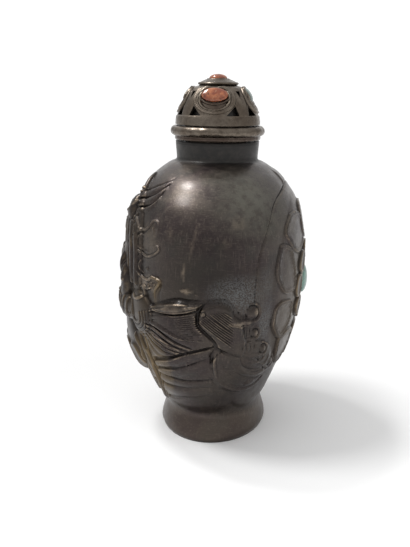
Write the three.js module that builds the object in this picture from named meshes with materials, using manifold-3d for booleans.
// A silvered metal snuff bottle in relief, with its pierced and jewelled stopper. Millimetres, +Z up.
// The origin is the middle of the flat underside of the foot. A narrow side of the oval bottle faces -Y,
// the broad face with the seated figure faces -X, and the broad face with the flower faces +X.
// The relief is the same on the two narrow sides, so one half is made and mirrored.
import * as THREE from "three";
import { mergeVertices } from "three/addons/utils/BufferGeometryUtils.js";
import Module from "manifold-3d";

const wasm = await Module();
wasm.setup();

// Driving dimensions.
const TOTAL_HEIGHT = 80;
const WALL = 1.3; // metal between the relief's ground and the hollow
const GAP = 0.3; // left between pieces that touch
const NECK_TOP = 65.6;
const NECK_RADIUS = 9.3;
const MOUTH_RADIUS = 7.2;
const RING_RADIUS = 10.55; // outside of the round ring under the stopper
const RING_HEIGHT = 3;
const RING_LIP = 0.8; // height of the thin straight lip at its foot
const DOME_WALL = 0.9;
const STONE_SINK = 0.5; // how deep a stone sits in its setting
const BOTTLE_TOLERANCE = 0.21; // how far the faceted relief may stray from the drawn one
const STOPPER_TOLERANCE = 0.2;
const RIGHT_ANGLE = Math.PI / 2;

// The plain oval form under the relief: height, half depth along X, half width along Y.
const OVAL = [
  [0, 11.95, 16.4],
  [0.9, 12.25, 16.7],
  [2.4, 11.95, 16.1],
  [5.5, 11.15, 14.6],
  [9.5, 12.6, 16.6],
  [13, 14.1, 18.9],
  [17, 15.6, 20.8],
  [21.5, 17, 22.5],
  [27, 18.2, 24],
  [33, 18.95, 25],
  [39, 19.25, 25.4],
  [45, 19.15, 25.1],
  [49.5, 18.6, 24.2],
  [53, 17.55, 22.6],
  [56, 15.9, 20],
  [58.3, 14, 17.1],
  [60, 11.9, 13.6],
  [61, 10.3, 10.9],
  [61.4, 9.3, 9.45],
  [61.75, 9.05, 9.05],
  [NECK_TOP, NECK_RADIUS, NECK_RADIUS],
];

// A smooth curve through the rows of a table: row[0] is where, and the rest are the values there.
function smoothTable(rows) {
  const slope = (i, k) => {
    if (i === 0 || i === rows.length - 1) return 0;
    const before = (rows[i][k] - rows[i - 1][k]) / (rows[i][0] - rows[i - 1][0]);
    const after = (rows[i + 1][k] - rows[i][k]) / (rows[i + 1][0] - rows[i][0]);
    return before * after <= 0 ? 0 : (2 * before * after) / (before + after);
  };
  return (x, k) => {
    const last = rows.length - 1;
    if (x <= rows[0][0]) return rows[0][k];
    if (x >= rows[last][0]) return rows[last][k];
    const i = rows.findIndex((row) => row[0] > x) - 1;
    const step = rows[i + 1][0] - rows[i][0];
    const u = (x - rows[i][0]) / step;
    return (
      rows[i][k] * (1 + 2 * u) * (1 - u) ** 2 +
      rows[i + 1][k] * u * u * (3 - 2 * u) +
      slope(i, k) * step * u * (1 - u) ** 2 +
      slope(i + 1, k) * step * u * u * (u - 1)
    );
  };
}

const oval = smoothTable(OVAL);
const clamp = THREE.MathUtils.clamp;
const smoothstep = THREE.MathUtils.smoothstep;

// The relief is drawn flat, on a sheet wrapped round the bottle: "around" is measured along the widest
// section from the middle of the -Y side, towards +X, and "up" is the height.
const WIDEST_HEIGHT = 39;
const TURN_STEPS = 180;
const AROUND = [0];
for (let i = 0; i < TURN_STEPS; i++) {
  const t = ((i + 0.5) / TURN_STEPS) * RIGHT_ANGLE;
  const speed = Math.hypot(oval(WIDEST_HEIGHT, 1) * Math.cos(t), oval(WIDEST_HEIGHT, 2) * Math.sin(t));
  AROUND.push(AROUND[i] + (speed * RIGHT_ANGLE) / TURN_STEPS);
}
const FACE = AROUND[TURN_STEPS]; // the middle of the +X face; the -X face is at -FACE

function aroundAt(turn) {
  const x = clamp((Math.abs(turn) / RIGHT_ANGLE) * TURN_STEPS, 0, TURN_STEPS - 1e-6);
  const i = Math.floor(x);
  return Math.sign(turn) * (AROUND[i] + (x - i) * (AROUND[i + 1] - AROUND[i]));
}

// Forms of the relief. Each gives a height at a point (s around, z up).

// A low mound: "sharp" under 1 makes its edge steeper, and lean turns its length, in degrees.
function mound({ at, size, high, sharp = 0.5, lean = 0 }) {
  const [cos, sin] = [Math.cos((lean * Math.PI) / 180), Math.sin((lean * Math.PI) / 180)];
  return (s, z) => {
    const [x, y] = [s - at[0], z - at[1]];
    const r = ((x * cos + y * sin) / size[0]) ** 2 + ((y * cos - x * sin) / size[1]) ** 2;
    return r < 1 ? high * (1 - r) ** sharp : 0;
  };
}

// A round cord laid along a smooth line: its half width and height go evenly from the first value to the
// second.
const CORD_STEPS = 5; // straight steps to each point of the line
function cord({ line, half, high }) {
  const curve = new THREE.SplineCurve(line.map((p) => new THREE.Vector2(...p)));
  const points = curve.getPoints(line.length * CORD_STEPS);
  const reach = Math.max(...half);
  const box = new THREE.Box2().setFromPoints(points).expandByScalar(reach);
  return (s, z) => {
    const p = new THREE.Vector2(s, z);
    if (!box.containsPoint(p)) return 0;
    let best = 0;
    for (let i = 1; i < points.length; i++) {
      const along = points[i].clone().sub(points[i - 1]);
      const u = clamp(p.clone().sub(points[i - 1]).dot(along) / along.lengthSq(), 0, 1);
      const share = (i - 1 + u) / (points.length - 1);
      const width = THREE.MathUtils.lerp(half[0], half[1], share);
      const off = p.distanceTo(points[i - 1].clone().addScaledVector(along, u)) / width;
      const crest = THREE.MathUtils.lerp(high[0], high[1], share);
      if (off < 1) best = Math.max(best, crest * Math.sqrt(1 - off * off));
    }
    return best;
  };
}

// A lock of hair or cloud that ends in a ball: the stem comes from "from", passes under the ball and hooks
// over it.
const HOOK = { from: -125, to: 115, step: 40 }; // degrees round the ball
function curl({ from, ball, radius, half, high }) {
  const hook = [];
  for (let angle = HOOK.from; angle <= HOOK.to; angle += HOOK.step) {
    const a = (angle * Math.PI) / 180;
    hook.push([ball[0] + (radius + half) * Math.cos(a), ball[1] + (radius + half) * Math.sin(a)]);
  }
  const stem = cord({ line: [from, ...hook], half: [half * 1.25, half * 0.6], high: [high * 0.7, high] });
  const end = mound({ at: ball, size: [radius, radius], high: high * 1.15 });
  return (s, z) => Math.max(stem(s, z), end(s, z));
}

const highest = (forms) => (s, z) => forms.reduce((best, form) => Math.max(best, form(s, z)), 0);

// The broad face with the flower: plump petals in an oval ring, and a ring of small ones round the stone's
// setting.
const FLOWER_UP = 34.9;
const PETALS = 10;
const PETAL_RING = [15.4, 13.8];
const PETAL_SIZE = [5, 4.9]; // half sizes along the ring and across it
const PETAL_HIGH = 1.05;
const INNER_PETALS = 8;
const INNER_RING = [7, 7];
const INNER_SIZE = [3, 2.3];
const FLOWER_STONE = { across: 3.1, up: 3.4, high: 1.6 };
const FLOWER_BOSS = 1; // height of the setting above the ground
const FLOWER_COLLAR = 1.3; // metal round the stone

function ringOfPetals(count, [across, up], size, high) {
  const forms = [];
  for (let k = 0; k <= count / 2; k++) {
    const turn = 90 + (k / count) * 360;
    const a = (turn * Math.PI) / 180;
    const at = [FACE + across * Math.cos(a), FLOWER_UP + up * Math.sin(a)];
    forms.push(mound({ at, size, high, sharp: 0.4, lean: turn + 90 }));
  }
  return forms;
}

function flower() {
  const setting = [FLOWER_STONE.across + FLOWER_COLLAR, FLOWER_STONE.up + FLOWER_COLLAR];
  return highest([
    ...ringOfPetals(PETALS, PETAL_RING, PETAL_SIZE, PETAL_HIGH),
    ...ringOfPetals(INNER_PETALS, INNER_RING, INNER_SIZE, PETAL_HIGH * 1.2),
    mound({ at: [FACE, FLOWER_UP], size: setting, high: FLOWER_BOSS * 1.3, sharp: 0.25 }),
  ]);
}

// The broad face with the seated figure, in a calm pose with the hands in the lap. x is measured from its
// middle.
const KNEE = [-17.9, 29.9];
const KNEE_SIZE = [5.9, 5.2];
const onFace = (x, z) => [x - FACE, z];

function figureMass() {
  return highest([
    mound({ at: onFace(0, 20.6), size: [16.5, 8.3], high: 3.2, sharp: 0.35 }), // throne
    mound({ at: onFace(0, 30.2), size: [17.5, 4.6], high: 3.35, sharp: 0.35 }), // crossed legs
    mound({ at: KNEE, size: KNEE_SIZE, high: 1.6, sharp: 0.4 }),
    mound({ at: onFace(0, 36.5), size: [8.5, 8.2], high: 2.1, sharp: 0.4 }), // trunk
    mound({ at: onFace(0, 40), size: [11, 4.6], high: 1.9, sharp: 0.4 }), // shoulders
    mound({ at: onFace(0, 46.6), size: [3.4, 4.1], high: 1.7 }), // head
    mound({ at: onFace(0, 50.2), size: [2.8, 2.4], high: 1.2 }), // hair
    cord({
      line: [onFace(9, 41), onFace(12, 37), onFace(10.5, 33), onFace(3, 31)],
      half: [2.2, 1.5],
      high: [1.9, 3.2],
    }), // arm
    mound({ at: [-22.5, 43], size: [6.5, 13], high: 0.9, sharp: 0.4 }), // scarf hanging from the shoulder
  ]);
}

const SLEEVE_FOLDS = 4;
const KNEE_FOLDS = [0.55, 0.76, 0.96]; // shares of the knee's size
const KNEE_TURN = { from: -150, to: 40, step: 38 }; // degrees round the knee
const THRONE_PETALS = 4;

function figureLines() {
  const forms = [];
  // Long folds of the sleeve and the scarf, side by side.
  for (let k = 0; k < SLEEVE_FOLDS; k++) {
    const x = 10 + 2.2 * k;
    const line = [onFace(x, 49.5 - k * 0.4), onFace(x + 0.9, 43), onFace(x + 0.3, 36.5)];
    forms.push(cord({ line, half: [0.9, 0.7], high: [0.7, 0.5] }));
  }
  // Round folds over the knee.
  for (const share of KNEE_FOLDS) {
    const line = [];
    for (let angle = KNEE_TURN.from; angle <= KNEE_TURN.to; angle += KNEE_TURN.step) {
      const a = (angle * Math.PI) / 180;
      const [x, y] = [share * KNEE_SIZE[0] * Math.cos(a), share * KNEE_SIZE[1] * Math.sin(a)];
      line.push([KNEE[0] + x, KNEE[1] + y]);
    }
    forms.push(cord({ line, half: [0.45, 0.45], high: [0.35, 0.35] }));
  }
  // Petals of the throne.
  for (let k = 0; k < THRONE_PETALS; k++) {
    const at = onFace(2.5 + 5 * k, 18.8 - 0.3 * k);
    forms.push(mound({ at, size: [2.6, 4.2], high: 0.4, sharp: 0.4 }));
  }
  return highest(forms);
}

// The scarf that flutters out from the figure: a knot, rolled ribbon ends, and hooked scrolls.
const SCARF = [
  mound({ at: [-22.6, 51.8], size: [2, 2.9], high: 1.3 }),
  cord({
    line: [[-22.6, 54], [-17.6, 55.4], [-14.2, 57], [-10.9, 58.5]],
    half: [0.95, 0.3],
    high: [0.95, 0.15],
  }),
  cord({
    line: [[-20.9, 52], [-16.6, 53.8], [-13.8, 55.5], [-11.4, 57.6]],
    half: [1.05, 0.3],
    high: [1, 0.15],
  }),
  cord({ line: [[-22.4, 55.2], [-24.3, 57.2], [-26.6, 58.4]], half: [0.9, 0.45], high: [0.9, 0.5] }),
  cord({
    line: [
      [-20, 50.8], [-18.6, 49.4], [-17, 48], [-14.6, 48.5], [-13.4, 50.1], [-11.9, 50.8], [-10.7, 50], [-10.9, 48.6],
    ],
    half: [0.6, 0.7],
    high: [0.7, 0.9],
  }),
  cord({
    line: [
      [-17, 48], [-18.2, 46.2], [-17.2, 44.4], [-14.5, 43.1], [-12.6, 43.7], [-11.4, 45.3], [-9.9, 45.1], [-10, 43.7],
    ],
    half: [0.6, 0.7],
    high: [0.8, 0.9],
  }),
  cord({
    line: [[-14.5, 43.1], [-16.6, 41.6], [-16, 39.9], [-13.4, 38.4]],
    half: [0.5, 0.6],
    high: [0.6, 0.8],
  }),
  mound({ at: [-12.6, 38.5], size: [1.3, 1.1], high: 0.9 }),
  mound({ at: [-10.5, 37.4], size: [1.1, 1.7], high: 0.8, lean: -15 }),
  cord({ line: [[-10.9, 36.2], [-10.9, 34.8], [-10.4, 33.5]], half: [0.4, 0.35], high: [0.5, 0.4] }),
  cord({ line: [[-18.3, 35], [-16.6, 33.8], [-14.7, 34.9]], half: [0.5, 0.5], high: [0.7, 0.7] }),
];

// The robe: a sheet that comes off the knee, ends along a jagged right-hand edge, and lies in radiating folds.
const ROBE_THICK = 0.85;
const ROBE_TOP = smoothTable([[-24, 33.5], [-16, 33.8], [-12, 33], [-4.6, 35.3], [0.6, 34.7], [4, 33]]);
const ROBE_EDGE = smoothTable([
  [5, 4.6], [14, 3.6], [18.5, 2.3], [24.4, 1.9], [26, 3], [28.3, 0.9], [30.2, -0.9], [33, -0.8], [35, 0.6],
]);
const ROBE_SLOPE = 0.7; // how far in the sheet takes to reach its thickness
const ROBE_FADE = [5.7, 9.2]; // heights over which it rises out of the foot

function robe(s, z) {
  const inside = Math.min(ROBE_TOP(s, 1) - z, ROBE_EDGE(z, 1) - s);
  return ROBE_THICK * smoothstep(inside, 0, ROBE_SLOPE) * smoothstep(z, ...ROBE_FADE);
}

function robeFolds() {
  const folds = [
    [[-13.4, 29.2], [-9.9, 29.6], [-4.8, 27.6], [2.2, 25.9]],
    [[-13.6, 28], [-9.9, 26.9], [-5, 25.3], [-0.6, 25.1]],
    [[-14.2, 26.8], [-11.8, 25.2], [-8.6, 24.1], [-5, 23.9]],
    [[-15, 25.8], [-13, 23.9], [-10.4, 22.8], [-7.4, 22.8]],
  ];
  const hems = [
    [[-13.6, 20.9], [-8.2, 22.3], [-4, 23.3], [2, 25]],
    [[-13.4, 18.6], [-8.6, 19.6], [-4.6, 20.6], [1.6, 22.6]],
    [[-14.4, 16.8], [-9.4, 17.4], [-3.6, 17.2], [1.6, 17.6]],
    [[-14, 13.9], [-9.4, 13.7], [-4.4, 13.4], [1.8, 13.9]],
  ];
  return highest([
    cord({ line: [[-12.2, 32.1], [-8, 33.2], [-4.4, 34]], half: [0.5, 1.4], high: [0.6, 1.1] }),
    cord({ line: [[-4.4, 34], [-2, 34.1], [0.4, 34.6]], half: [1.4, 0.3], high: [1.1, 0.5] }),
    cord({
      line: [[-12.4, 30.5], [-9.6, 31.2], [-5.2, 31.7], [-1.6, 32.2]],
      half: [0.6, 0.5],
      high: [0.45, 0.4],
    }),
    ...folds.map((line) => cord({ line, half: [0.85, 0.6], high: [0.75, 0.55] })),
    ...hems.map((line) => cord({ line, half: [0.9, 0.7], high: [0.55, 0.45] })),
    cord({ line: [[-3.8, 23.4], [-3.6, 21.8], [-3.8, 20]], half: [0.55, 0.55], high: [0.75, 0.75] }), // tie
    cord({
      line: [[-20.6, 24], [-18, 20.9], [-16.4, 18.6], [-15.7, 15.4], [-16.4, 11.6], [-18.2, 8.6]],
      half: [1.1, 0.8],
      high: [1.1, 0.7],
    }), // side hem
  ]);
}

// The combed locks beside the robe, each ending in a curl, over a broad scalloped lobe.
const LOCKS = mound({ at: [4.4, 29], size: [7.7, 4.6], high: 1.35, sharp: 0.4, lean: -62 });
const LOBE = mound({ at: [10.8, 19.4], size: [9.4, 6.4], high: 0.9, sharp: 0.3 });
const CURLS = [
  { from: [4.6, 33.2], ball: [11.2, 32.6], radius: 1.5, half: 0.75, high: 1.35 },
  { from: [6, 29.6], ball: [12, 28], radius: 1.25, half: 0.7, high: 1.3 },
  { from: [6.8, 25.8], ball: [13.9, 24], radius: 1.35, half: 0.75, high: 1.3 },
  { from: [7.6, 22.6], ball: [18.1, 20], radius: 1.3, half: 0.7, high: 1 },
];
const LOBE_RIDGES = [
  cord({ line: [[8, 19.8], [11.2, 17.4], [15, 16], [18.8, 17]], half: [0.8, 0.7], high: [0.4, 0.6] }),
  cord({ line: [[2.9, 23.4], [3, 21], [3.9, 18.2]], half: [0.6, 0.5], high: [0.45, 0.5] }),
];

// Broad lotus petals that point down to the foot.
const LOTUS_PETALS = 8;
const LOTUS_MIDDLE = 13.4;
const LOTUS_REACH = 7;
const LOTUS_HIGH = [0.36, 0.5]; // every second petal stands prouder
function lotus() {
  const pitch = (4 * FACE) / LOTUS_PETALS;
  const forms = [];
  for (let k = -2; k <= 2; k++) {
    const size = [pitch * 0.64, LOTUS_REACH];
    forms.push(mound({ at: [k * pitch, LOTUS_MIDDLE], size, high: LOTUS_HIGH[Math.abs(k % 2)], sharp: 0.25 }));
  }
  return highest(forms);
}

// The line where the flower's ground stands a little proud of the plain side.
const PANEL_EDGE = smoothTable([
  [30, 11.5], [35.2, 11.5], [41.7, 11.8], [46.7, 13.2], [50.6, 15.2], [54.3, 19.6], [57.5, 31],
]);
const PANEL_THICK = 0.22;
const PANEL_SLOPE = 0.4;
const PANEL_FADE = [28, 33]; // heights over which the panel comes in

function panel(s, z) {
  const past = s - PANEL_EDGE(z, 1);
  return PANEL_THICK * smoothstep(past, -PANEL_SLOPE, PANEL_SLOPE) * smoothstep(z, ...PANEL_FADE);
}

const layers = highest([flower(), figureMass(), robe, LOCKS, LOBE, lotus(), panel]);
const strokes = highest([figureLines(), ...SCARF, robeFolds(), ...CURLS.map(curl), ...LOBE_RIDGES]);
const RELIEF_IN = [4.6, 7]; // heights over which the relief comes in above the foot
const RELIEF_OUT = [58.6, 60.2]; // and dies away under the neck

// The solid carries the broad shape of the carving, so the drawn relief is averaged over a small disc:
// each place is off along, off up and share of the whole.
const DISC = [[0, 0, 0.2]];
const INNER_DISC = { radius: 0.8, share: 0.085 };
const OUTER_DISC = { radius: 1.5, share: 0.0483 };
for (let k = 0; k < 6; k++) {
  const a = (k * Math.PI) / 3;
  DISC.push([INNER_DISC.radius * Math.cos(a), INNER_DISC.radius * Math.sin(a), INNER_DISC.share]);
  DISC.push([OUTER_DISC.radius * Math.sin(a), OUTER_DISC.radius * Math.cos(a), OUTER_DISC.share]);
}

function relief(s, z) {
  const fade = smoothstep(z, ...RELIEF_IN) * (1 - smoothstep(z, ...RELIEF_OUT));
  if (fade === 0) return 0;
  let high = 0;
  for (const [x, y, share] of DISC) {
    const folded = FACE - Math.abs(FACE - Math.abs(s + x)); // the sheet carries on past a face as its mirror image
    const around = Math.sign(s + x) * folded;
    high += share * (layers(around, z + y) + strokes(around, z + y));
  }
  return fade * high;
}

// The bottle's outside as a sheet over (turn, row). Row 0 is the middle of the underside, and the last row
// that of the top.
const ROW_HEIGHTS = [
  0, 2.4, 5.5, 9.5, 14, 18.5, 23, 27.5, 32, 36.5, 41, 45.5, 50, 54, 57.5, 60, 61.6, NECK_TOP,
];
const SLOPE_STEP = 0.05; // mm up and down, for the slope of the oval form

function rowPlace(row) {
  const last = ROW_HEIGHTS.length;
  if (row <= 1) return [row, 0];
  if (row >= last) return [last + 1 - row, NECK_TOP];
  const i = Math.min(Math.floor(row - 1), last - 2);
  return [1, THREE.MathUtils.lerp(ROW_HEIGHTS[i], ROW_HEIGHTS[i + 1], row - 1 - i)];
}

function bottlePoint(turn, row) {
  const [share, z] = rowPlace(row);
  const [depth, width] = [oval(z, 1), oval(z, 2)];
  const p = new THREE.Vector3(share * depth * Math.sin(turn), -share * width * Math.cos(turn), z);
  if (share < 1) return p;
  const lower = new THREE.Vector2(oval(z - SLOPE_STEP, 1), oval(z - SLOPE_STEP, 2));
  const upper = new THREE.Vector2(oval(z + SLOPE_STEP, 1), oval(z + SLOPE_STEP, 2));
  const rise = upper.sub(lower).divideScalar(2 * SLOPE_STEP);
  const across = new THREE.Vector3(depth * Math.cos(turn), width * Math.sin(turn), 0);
  const along = new THREE.Vector3(rise.x * Math.sin(turn), -rise.y * Math.cos(turn), 1);
  return p.addScaledVector(across.cross(along).normalize(), relief(aroundAt(turn), z));
}

// Meshes a sheet over turns from -90 to 90 degrees. It starts from a coarse grid, and halves triangles until
// none strays from the sheet by more than the tolerance, so plain metal gets few faces and the relief gets
// many. "finest" is the shortest edge that is still cut, in the same steps as UNIT.
const UNIT = 64; // parameter steps to a grid cell
const SHEET_COLUMNS = 8;
const PROBES = [ // places in a triangle where the sheet is compared with it
  [0.5, 0.5, 0], [0.5, 0, 0.5], [0, 0.5, 0.5], [0.34, 0.33, 0.33], [0.2, 0.6, 0.2], [0.6, 0.2, 0.2], [0.2, 0.2, 0.6],
];

function refinedSheet(point, rows, tolerance, finest) {
  const turnAt = (i) => (i / (SHEET_COLUMNS * UNIT) - 0.5) * Math.PI;
  const places = new Map();
  const place = (i, j) => {
    const key = i + "," + j;
    if (!places.has(key)) places.set(key, { i, j, p: point(turnAt(i), j / UNIT) });
    return places.get(key);
  };
  const edges = new Map();
  const edgeKey = (a, b) => {
    const ends = a.i < b.i || (a.i === b.i && a.j < b.j) ? [a, b] : [b, a];
    return ends.map((end) => end.i + "," + end.j).join();
  };
  const sides = ([a, b, c]) => [edgeKey(a, b), edgeKey(b, c), edgeKey(c, a)];
  const triangles = new Set();
  const add = (triangle) => {
    triangles.add(triangle);
    for (const key of sides(triangle)) edges.set(key, [...(edges.get(key) ?? []), triangle]);
  };
  const remove = (triangle) => {
    triangles.delete(triangle);
    for (const key of sides(triangle)) edges.set(key, edges.get(key).filter((other) => other !== triangle));
  };
  // The first two corners of a triangle are the ends of the edge that is cut next.
  const halve = (triangle) => {
    const [a, b, c] = triangle;
    const middle = place((a.i + b.i) / 2, (a.j + b.j) / 2);
    remove(triangle);
    const halves = [[c, a, middle], [b, c, middle]];
    halves.forEach(add);
    return halves;
  };
  const cut = (triangle) => {
    const key = edgeKey(triangle[0], triangle[1]);
    const beyond = () => edges.get(key).find((other) => other !== triangle);
    const made = [];
    if (beyond() && edgeKey(beyond()[0], beyond()[1]) !== key) made.push(...cut(beyond()));
    const other = beyond();
    made.push(...halve(triangle));
    if (other) made.push(...halve(other));
    return made;
  };
  const strays = ([a, b, c]) => {
    if (Math.abs(a.i - b.i) + Math.abs(a.j - b.j) < finest) return false;
    return PROBES.some(([u, v, w]) => {
      const i = a.i * u + b.i * v + c.i * w;
      const j = a.j * u + b.j * v + c.j * w;
      const flat = a.p.clone().multiplyScalar(u).addScaledVector(b.p, v).addScaledVector(c.p, w);
      return point(turnAt(i), j / UNIT).distanceTo(flat) > tolerance;
    });
  };
  const CELL = [[0, 0], [1, 0], [1, 1], [0, 1]];
  for (let i = 0; i < SHEET_COLUMNS; i++)
    for (let j = 0; j < rows; j++) {
      const [a, b, c, d] = CELL.map(([x, y]) => place((i + x) * UNIT, (j + y) * UNIT));
      add([c, a, b]);
      add([a, c, d]);
    }
  const waiting = [...triangles];
  while (waiting.length) {
    const triangle = waiting.pop();
    if (triangles.has(triangle) && strays(triangle)) waiting.push(...cut(triangle));
  }
  return [...triangles].map((triangle) => triangle.map((corner) => corner.p));
}

// A closed solid from triangles whose corners coincide where they meet.
const WELD = 1e-4;
function solidFrom(geometry) {
  const bare = (geometry.index ? geometry.toNonIndexed() : geometry.clone()).deleteAttribute("normal");
  const merged = mergeVertices(bare.deleteAttribute("uv"), WELD);
  const corners = merged.index.array;
  const faces = [];
  for (let i = 0; i < corners.length; i += 3) {
    const [a, b, c] = corners.slice(i, i + 3);
    if (a !== b && b !== c && c !== a) faces.push(a, b, c);
  }
  return new wasm.Manifold(
    new wasm.Mesh({
      numProp: 3,
      vertProperties: merged.attributes.position.array,
      triVerts: new Uint32Array(faces),
    }),
  );
}

function geometryOf(solid) {
  const { vertProperties, triVerts } = solid.getMesh();
  const geometry = new THREE.BufferGeometry();
  geometry.setAttribute("position", new THREE.BufferAttribute(vertProperties, 3));
  geometry.setIndex(new THREE.BufferAttribute(triVerts, 1));
  geometry.computeVertexNormals();
  return geometry;
}

// A half sheet and its mirror image in the XZ plane, as one solid.
function mirroredSolid(half) {
  const corners = [];
  for (const [a, b, c] of half) {
    for (const p of [a, b, c]) corners.push(p.x, p.y, p.z);
    for (const p of [c, b, a]) corners.push(p.x, -p.y, p.z);
  }
  const geometry = new THREE.BufferGeometry();
  const positions = Float32Array.from(corners, (x) => (Math.abs(x) < 1e-9 ? 0 : x));
  geometry.setAttribute("position", new THREE.BufferAttribute(positions, 3));
  return solidFrom(geometry);
}

const turned = (profile, segments) => {
  const points = profile.map(([radius, up]) => new THREE.Vector2(radius, up));
  return new THREE.LatheGeometry(points, segments).rotateX(RIGHT_ANGLE);
};

// The hollow of the bottle: the plain oval form, one wall thickness in, and the bore of the mouth.
const HOLLOW_SIDES = 20;
const HOLLOW_HEIGHTS = [3.2, 5.5, 9.5, 15, 21.5, 30, 39, 47, 53, 57, 59.6];
const HOLLOW_INSET = WALL * 1.15; // the flats of a many-sided hollow lie nearer its middle than its corners
const BORE_FROM = 58;
const BORE_SIDES = 30;

function hollow() {
  const geometry = turned([[0, 0], ...HOLLOW_HEIGHTS.map((z) => [1, z]), [0, 1]], HOLLOW_SIDES);
  const position = geometry.attributes.position;
  const perColumn = HOLLOW_HEIGHTS.length + 2;
  for (let i = 0; i < position.count; i++) {
    const row = i % perColumn;
    const z = HOLLOW_HEIGHTS[clamp(row - 1, 0, HOLLOW_HEIGHTS.length - 1)];
    const depth = Math.max(oval(z, 1) - HOLLOW_INSET, MOUTH_RADIUS);
    const width = Math.max(oval(z, 2) - HOLLOW_INSET, MOUTH_RADIUS);
    position.setXYZ(i, position.getX(i) * depth, position.getY(i) * width, z);
  }
  const above = NECK_TOP + 1;
  const section = [[0, BORE_FROM], [MOUTH_RADIUS, BORE_FROM], [MOUTH_RADIUS, above], [0, above]];
  return solidFrom(geometry).add(solidFrom(turned(section, BORE_SIDES)));
}

// A stone's place: a point on the metal and the direction that the stone faces.
const FLOWER_SEAT = new THREE.Vector3(oval(FLOWER_UP, 1) + FLOWER_BOSS - STONE_SINK, 0, FLOWER_UP);

// An oval cabochon with a flat back, standing on z = 0: half sizes along X and Y, and height.
const STONE_SIDES = 16;
const STONE_RINGS = 4;
const STONE_EDGE = 0.22; // share of its height that is its upright edge
const STONE_BACK = 0.97; // its flat back is this much smaller than its widest
function cabochonGeometry(across, up, high) {
  const profile = [[0, 0], [STONE_BACK, 0]];
  for (let i = 0; i <= STONE_RINGS; i++) {
    const a = (i / STONE_RINGS) * RIGHT_ANGLE;
    profile.push([Math.cos(a), high * (STONE_EDGE + (1 - STONE_EDGE) * Math.sin(a))]);
  }
  return turned(profile, STONE_SIDES).scale(across, up, 1);
}

const towards = (direction) => {
  const out = direction.clone().normalize();
  const side = new THREE.Vector3(-out.y, out.x, 0);
  if (side.length() < 1e-6) side.set(1, 0, 0);
  side.normalize();
  return new THREE.Matrix4().makeBasis(side, out.clone().cross(side), out);
};

// The pocket that a stone sits in: a short oval cylinder, a gap wider and deeper than the stone.
const POCKET_LENGTH = 4;
function pocket(seat, direction, across, up) {
  const geometry = new THREE.CylinderGeometry(1, 1, POCKET_LENGTH, STONE_SIDES).rotateX(RIGHT_ANGLE);
  geometry.scale(across + GAP, up + GAP, 1).translate(0, 0, POCKET_LENGTH / 2 - GAP);
  return solidFrom(geometry.applyMatrix4(towards(direction).setPosition(seat)));
}

const BOTTLE_FINEST = 16;
function bottleSolid() {
  const half = refinedSheet(bottlePoint, ROW_HEIGHTS.length + 1, BOTTLE_TOLERANCE, BOTTLE_FINEST);
  const faceOut = new THREE.Vector3(1, 0, 0);
  return mirroredSolid(half)
    .subtract(hollow())
    .subtract(pocket(FLOWER_SEAT, faceOut, FLOWER_STONE.across, FLOWER_STONE.up));
}

// The stopper, from its seat on the ring up. Its plain form is a table of height and radius above the seat.
const STOPPER_SEAT = NECK_TOP + GAP + RING_HEIGHT + GAP;
const DOME_TOP = TOTAL_HEIGHT - 1; // the top stone stands above this
const DOME = smoothTable([
  [0, 9.2],
  [1.6, 9.05],
  [3.2, 8.55],
  [4.8, 7.9],
  [6, 7.25],
  [7.1, 6.4],
  [8, 5.3],
  [8.5, 4.3],
  [DOME_TOP - STOPPER_SEAT, 2.7],
]);
const MEDALLION_UP = 5.4; // its middle, above the seat
const MEDALLION_SIZE = [4.6, 3.05]; // half width round the dome, and half height straight up
const MEDALLION_HIGH = 0.4;
const SETTING_UP = 6.3; // the middle of the stone in it
const SETTING_HIGH = 0.1; // of the stone's seat above the medallion
const DOME_ROWS = [0, 1.6, 3.2, 4.8, 6.4, 7.6, 8.5, DOME_TOP - STOPPER_SEAT];

// Height of the dome's own relief: an oval medallion on each of the four sides, with a raised seat for its stone.
function domeRelief(turn, up) {
  const quarter = Math.round(turn / RIGHT_ANGLE) * RIGHT_ANGLE;
  const around = ((turn - quarter) * (DOME(MEDALLION_UP, 1) + DOME(up, 1))) / 2;
  const plate = Math.hypot(around / MEDALLION_SIZE[0], (up - MEDALLION_UP) / MEDALLION_SIZE[1]);
  const seat = Math.hypot(around / (SIDE_STONE.across + 0.9), (up - SETTING_UP) / (SIDE_STONE.up + 0.4));
  const raised = MEDALLION_HIGH * (1 - smoothstep(plate, 0.82, 1.1));
  return raised + SETTING_HIGH * (1 - smoothstep(seat, 0.8, 1.1));
}

function domePoint(turn, row) {
  const last = DOME_ROWS.length;
  const share = row <= 1 ? row : row >= last ? last + 1 - row : 1;
  const i = clamp(Math.floor(row - 1), 0, last - 2);
  const up = THREE.MathUtils.lerp(DOME_ROWS[i], DOME_ROWS[i + 1], clamp(row - 1 - i, 0, 1));
  const radius = share * (DOME(up, 1) + (share < 1 ? 0 : domeRelief(turn, up)));
  return new THREE.Vector3(radius * Math.sin(turn), -radius * Math.cos(turn), STOPPER_SEAT + up);
}

// Three-cornered openings beside each medallion, cut straight in through the dome. Their corners are drawn
// flat, from the middle of the lower edge.
const LOWER_OPENING = [[-1.7, 0], [1.6, 0], [0.8, 2.1]];
const LOWER_OPENING_UP = 2;
const LOWER_OPENING_TURN = 0.47; // radians to each side of a medallion's middle
const UPPER_OPENING = [[-0.7, 1.1], [0.7, 1.1], [0, -0.6]];
const UPPER_OPENING_UP = 6.1;
const CUT_FROM = 5.4; // distance out from the axis
const CUT_LENGTH = 5;

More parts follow.
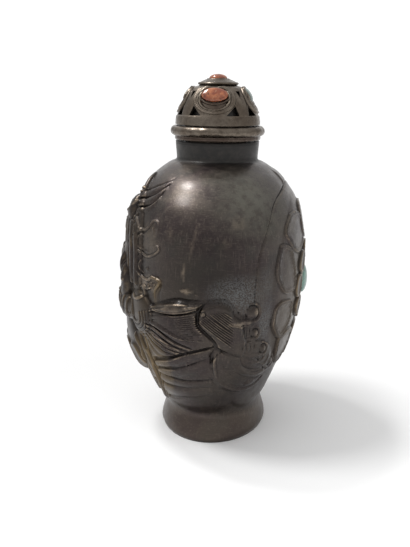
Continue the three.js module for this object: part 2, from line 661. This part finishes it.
function piercings() {
  const triangle = (corners) => {
    const shape = new THREE.Shape(corners.map(([x, y]) => new THREE.Vector2(x, y)));
    return new THREE.ExtrudeGeometry(shape, { depth: CUT_LENGTH, bevelEnabled: false });
  };
  const upper = UPPER_OPENING.map(([x, y]) => [x, y + UPPER_OPENING_UP]);
  const solids = [];
  for (let side = 0; side < 4; side++) {
    const middle = side * RIGHT_ANGLE;
    for (const sign of [-1, 1]) {
      const corners = LOWER_OPENING.map(([x, y]) => [sign * x, y + LOWER_OPENING_UP]);
      if (sign < 0) corners.reverse();
      solids.push([middle + sign * LOWER_OPENING_TURN, triangle(corners)]);
    }
    solids.push([middle + RIGHT_ANGLE / 2, triangle(upper)]);
  }
  return solids.map(([turn, geometry]) => {
    geometry.translate(0, 0, CUT_FROM).rotateX(RIGHT_ANGLE).rotateZ(turn).translate(0, 0, STOPPER_SEAT);
    return solidFrom(geometry);
  });
}

// The stones of the stopper: where each faces, in degrees round from -Y, and its material.
const SIDE_STONE = { across: 2.9, up: 1.7, high: 1.15 };
const TOP_STONE = { across: 2.1, up: 2.1, high: 1.35 };
const SIDE_STONES = [
  ["front_coral", 0],
  ["right_turquoise", 1],
  ["back_coral", 2],
  ["left_turquoise", 3],
];
const STONE_TILT = 0.58; // radians that a side stone looks up
const sideStoneFacing = (quarter) => {
  const turn = quarter * RIGHT_ANGLE;
  return new THREE.Vector3(Math.sin(turn), -Math.cos(turn), Math.tan(STONE_TILT));
};
const sideStoneSeat = (quarter) => {
  const out = sideStoneFacing(quarter);
  const radius = DOME(SETTING_UP, 1) + MEDALLION_HIGH + SETTING_HIGH - STONE_SINK;
  return new THREE.Vector3(out.x * radius, out.y * radius, STOPPER_SEAT + SETTING_UP);
};
const TOP_SEAT = new THREE.Vector3(0, 0, TOTAL_HEIGHT - TOP_STONE.high);

const STOPPER_FINEST = 32;
const TOP_PLATE = [[0, 0], [4.3, 0], [4.5, 0.25], [4.2, 0.7], [0, 0.7]]; // its section: radius, up
const TOP_PLATE_UP = 8.4;
const TURNED_SIDES = 24;
const SPIGOT_DEPTH = 3.2; // the tube under the stopper that keeps it in the mouth
const SPIGOT_RADIUS = MOUTH_RADIUS - GAP;
const INNER_SIDES = 20;
const INNER_UPS = [2, 3.6, 5.2, 6.4]; // heights where the stopper's own hollow follows the dome
const INNER_INSET = DOME_WALL + 0.5;
const INNER_TOP = 7.2;

function stopperSolid() {
  const half = refinedSheet(domePoint, DOME_ROWS.length + 1, STOPPER_TOLERANCE, STOPPER_FINEST);
  let solid = mirroredSolid(half);
  const plate = turned(TOP_PLATE, TURNED_SIDES);
  solid = solid.add(solidFrom(plate.translate(0, 0, STOPPER_SEAT + TOP_PLATE_UP)));
  const low = STOPPER_SEAT - RING_HEIGHT - SPIGOT_DEPTH;
  const high = STOPPER_SEAT + 0.4; // the tube runs this far up into the dome's metal
  const tube = turned([[0, low], [SPIGOT_RADIUS, low], [SPIGOT_RADIUS, high], [0, high]], TURNED_SIDES);
  solid = solid.add(solidFrom(tube));
  const inner = [[0, low - 1], [SPIGOT_RADIUS - DOME_WALL, low - 1]];
  inner.push([SPIGOT_RADIUS - DOME_WALL, STOPPER_SEAT + 1.2]);
  for (const up of INNER_UPS) inner.push([DOME(up, 1) - INNER_INSET, STOPPER_SEAT + up]);
  inner.push([0, STOPPER_SEAT + INNER_TOP]);
  solid = solid.subtract(solidFrom(turned(inner, INNER_SIDES)));
  for (const cutter of piercings()) solid = solid.subtract(cutter);
  for (const [, quarter] of SIDE_STONES) {
    solid = solid.subtract(
      pocket(sideStoneSeat(quarter), sideStoneFacing(quarter), SIDE_STONE.across, SIDE_STONE.up),
    );
  }
  return solid.subtract(pocket(TOP_SEAT, new THREE.Vector3(0, 0, 1), TOP_STONE.across, TOP_STONE.up));
}

// The ring between the neck and the stopper: a half-round bead over a thin straight lip.
const RING_LIP_RADIUS = 9.7;
const RING_INNER = MOUTH_RADIUS + 0.15;
const RING_SIDES = 28;
const BEAD_STEPS = 5;

function ringGeometry() {
  const base = NECK_TOP + GAP;
  const bead = (RING_HEIGHT - RING_LIP) / 2;
  const profile = [[RING_INNER, base], [RING_LIP_RADIUS, base], [RING_LIP_RADIUS, base + RING_LIP]];
  for (let i = 0; i <= BEAD_STEPS; i++) {
    const a = (i / BEAD_STEPS - 0.5) * Math.PI;
    profile.push([RING_RADIUS - bead + bead * Math.cos(a), base + RING_LIP + bead + bead * Math.sin(a)]);
  }
  profile.push([RING_INNER, base + RING_HEIGHT], [RING_INNER, base]);
  return geometryOf(solidFrom(turned(profile, RING_SIDES)));
}

// Materials as they look on the old bottle.
const darkMetal = new THREE.MeshStandardMaterial({ color: 0x4a4541, roughness: 0.42, metalness: 0.85 });
const stopperMetal = new THREE.MeshStandardMaterial({ color: 0x6b635a, roughness: 0.38, metalness: 0.9 });
const coral = new THREE.MeshStandardMaterial({ color: 0xa5553a, roughness: 0.25, metalness: 0 });
const turquoise = new THREE.MeshStandardMaterial({ color: 0x7d9f92, roughness: 0.35, metalness: 0 });

const snuffBottle = new THREE.Group();

function addPiece(name, geometry, material) {
  const mesh = new THREE.Mesh(geometry, material);
  mesh.name = name;
  snuffBottle.add(mesh);
  return mesh;
}

function addStone(name, stone, seat, direction, material) {
  const mesh = addPiece(name, cabochonGeometry(stone.across, stone.up, stone.high), material);
  mesh.setRotationFromMatrix(towards(direction));
  mesh.position.copy(seat);
}

addPiece("bottle", geometryOf(bottleSolid()), darkMetal);
addPiece("neck_ring", ringGeometry(), stopperMetal);
addPiece("stopper", geometryOf(stopperSolid()), stopperMetal);
addStone("flower_turquoise", FLOWER_STONE, FLOWER_SEAT, new THREE.Vector3(1, 0, 0), turquoise);
addStone("top_coral", TOP_STONE, TOP_SEAT, new THREE.Vector3(0, 0, 1), coral);
for (const [name, quarter] of SIDE_STONES) {
  const material = name.endsWith("coral") ? coral : turquoise;
  addStone(name, SIDE_STONE, sideStoneSeat(quarter), sideStoneFacing(quarter), material);
}

export default snuffBottle;
